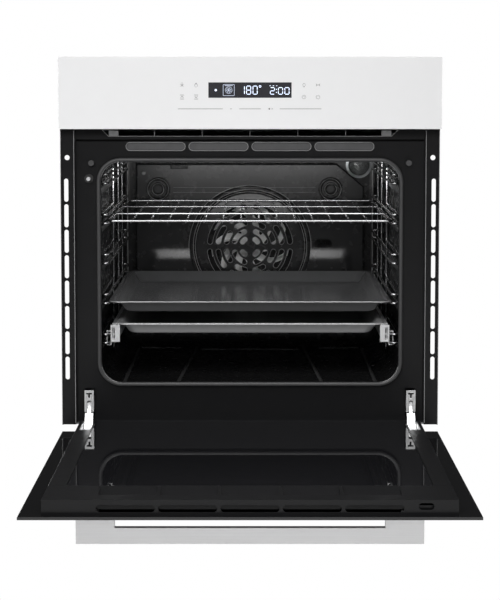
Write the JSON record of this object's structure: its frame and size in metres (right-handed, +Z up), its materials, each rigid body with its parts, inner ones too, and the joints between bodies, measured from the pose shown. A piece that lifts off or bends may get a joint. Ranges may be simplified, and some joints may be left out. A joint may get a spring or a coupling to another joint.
{
  "type": "wall oven",
  "caption": "Built-in single wall oven with a glass control panel, drop-down glass door, wire shelf, trays on runners and fan cooking.",
  "frame": {"origin": "centre of the underside of the casing, which rests on the niche's shelf", "axes": "+X to the user's right, +Y into the oven, +Z up; the door opens towards -Y"},
  "size_m": [0.595, 1.0495, 0.6323],
  "materials": {
    "black_enamel": "satin black powder coat",
    "cavity_enamel": "glossy black easy-clean enamel",
    "tray_enamel_dark": "glossy dark enamel",
    "tray_enamel_grey": "glossy grey enamel",
    "galvanised_sheet": "dull galvanised sheet steel",
    "zinc_plate": "bright zinc plate",
    "chrome_wire": "chromed wire",
    "stainless": "brushed stainless steel",
    "screw_steel": "plain steel screws",
    "spring_steel": "oiled spring steel",
    "motor_steel": "laminated steel and bare frame",
    "heater_sheath": "heat-darkened heater sheath",
    "fan_aluminium": "plain sheet",
    "white_glass": "glass printed white on its back",
    "display_glass": "dark smoked glass",
    "black_glass": "glass printed black on its back",
    "inner_glass": "low-emission glass with a printed border",
    "lamp_glass": "pressed heat-proof glass",
    "seal_rubber": "dark grey silicone",
    "grey_plastic": "moulded grey plastic",
    "black_plastic": "moulded black plastic",
    "board_green": "glass-fibre circuit board with its components",
    "mineral_wool": "mineral wool blanket"
  },
  "bodies": {
    "oven_body": {"front_frame": "black_enamel", "cavity_liner": "cavity_enamel", "door_gasket": "seal_rubber", "back_baffle": "cavity_enamel", "baffle_screws": "screw_steel", "wall_bosses": "cavity_enamel", "ring_heater": "heater_sheath", "grill_heater": "heater_sheath", "base_heater": "heater_sheath", "lamp_housing": "galvanised_sheet", "lamp_bulb": "lamp_glass", "lamp_glass": "lamp_glass", "temperature_probe": "stainless", "side_rack_left": "chrome_wire", "side_rack_right": "chrome_wire", "rack_studs": "screw_steel", "runner_rails": "zinc_plate", "insulation": "mineral_wool", "casing_sides": "galvanised_sheet", "casing_top": "galvanised_sheet", "casing_base": "galvanised_sheet", "casing_back": "galvanised_sheet", "casing_screws": "screw_steel", "motor_bracket": "galvanised_sheet", "fan_motor": "motor_steel", "air_duct": "galvanised_sheet", "air_outlet_trim": "black_enamel", "blower_housing": "galvanised_sheet", "blower_motor": "motor_steel", "panel_glass": "white_glass", "panel_carrier": "grey_plastic", "display_window": "display_glass", "display_module": "board_green", "touch_board": "board_green", "power_board": "board_green", "terminal_block": "black_plastic", "door_bumpers": "seal_rubber", "switch_body": "black_plastic", "hinge_receivers": "black_enamel", "hinge_arms": "zinc_plate"},
    "door": {"door_front_glass": "black_glass", "door_inner_glasses": "inner_glass", "door_frame": "black_enamel", "door_top_vent": "black_enamel", "handle": "stainless", "hinge_channels": "zinc_plate", "hinge_springs": "spring_steel"},
    "hinge_links": {"hinge_links": "zinc_plate"},
    "lock_clip_left": {"lock_clip_left": "zinc_plate"},
    "lock_clip_right": {"lock_clip_right": "zinc_plate"},
    "wire_shelf": {"wire_shelf": "chrome_wire"},
    "upper_tray": {"upper_tray": "tray_enamel_dark"},
    "runner_middles": {"runner_middles": "zinc_plate"},
    "tray_carrier": {"runner_sliders": "zinc_plate", "lower_tray": "tray_enamel_grey"},
    "convection_fan": {"fan_shaft": "stainless", "convection_fan": "fan_aluminium", "fan_nut": "screw_steel"},
    "blower_rotor": {"blower_rotor": "fan_aluminium"},
    "switch_plunger": {"switch_plunger": "grey_plastic"}
  },
  "joints": [
    {"name": "door_hinge", "type": "hinge", "parent": "oven_body", "child": "door", "pos_m": [0, -0.2841, -0.0042], "axis": [1, 0, 0], "range_deg": [-90, 0]},
    {"name": "hinge_link_slide", "type": "slide", "parent": "door", "child": "hinge_links", "axis": [0, -1, 0], "range_m": [0, 0.012], "deforming": ["hinge_springs"]},
    {"name": "lock_clip_left_turn", "type": "hinge", "parent": "oven_body", "child": "lock_clip_left", "pos_m": [-0.2545, -0.2698, 0.032], "axis": [1, 0, 0], "range_deg": [0, 75]},
    {"name": "lock_clip_right_turn", "type": "hinge", "parent": "oven_body", "child": "lock_clip_right", "pos_m": [0.2545, -0.2698, 0.032], "axis": [1, 0, 0], "range_deg": [0, 75]},
    {"name": "wire_shelf_slide", "type": "slide", "parent": "oven_body", "child": "wire_shelf", "axis": [0, -1, 0], "range_m": [0, 0.3]},
    {"name": "upper_tray_slide", "type": "slide", "parent": "oven_body", "child": "upper_tray", "axis": [0, -1, 0], "range_m": [0, 0.3]},
    {"name": "lower_tray_slide", "type": "slide", "parent": "oven_body", "child": "tray_carrier", "axis": [0, -1, 0], "range_m": [0, 0.34]},
    {"name": "runner_middle_slide", "type": "slide", "parent": "oven_body", "child": "runner_middles", "axis": [0, -1, 0], "range_m": [0, 0.17]},
    {"name": "convection_fan_spin", "type": "hinge", "parent": "oven_body", "child": "convection_fan", "pos_m": [0, 0.1972, 0.235], "axis": [0, 1, 0], "continuous": true},
    {"name": "blower_spin", "type": "hinge", "parent": "oven_body", "child": "blower_rotor", "pos_m": [0, 0.1092, 0.506], "axis": [1, 0, 0], "continuous": true},
    {"name": "switch_plunger_slide", "type": "slide", "parent": "oven_body", "child": "switch_plunger", "axis": [0, 1, 0], "range_m": [0, 0.004]}
  ],
  "couplings": [
    {"joint": "hinge_link_slide", "follows": "door_hinge", "m_per_rad": -0.007639},
    {"joint": "switch_plunger_slide", "follows": "door_hinge", "m_per_rad": -0.002546},
    {"joint": "runner_middle_slide", "follows": "lower_tray_slide", "ratio": 0.5}
  ]
}
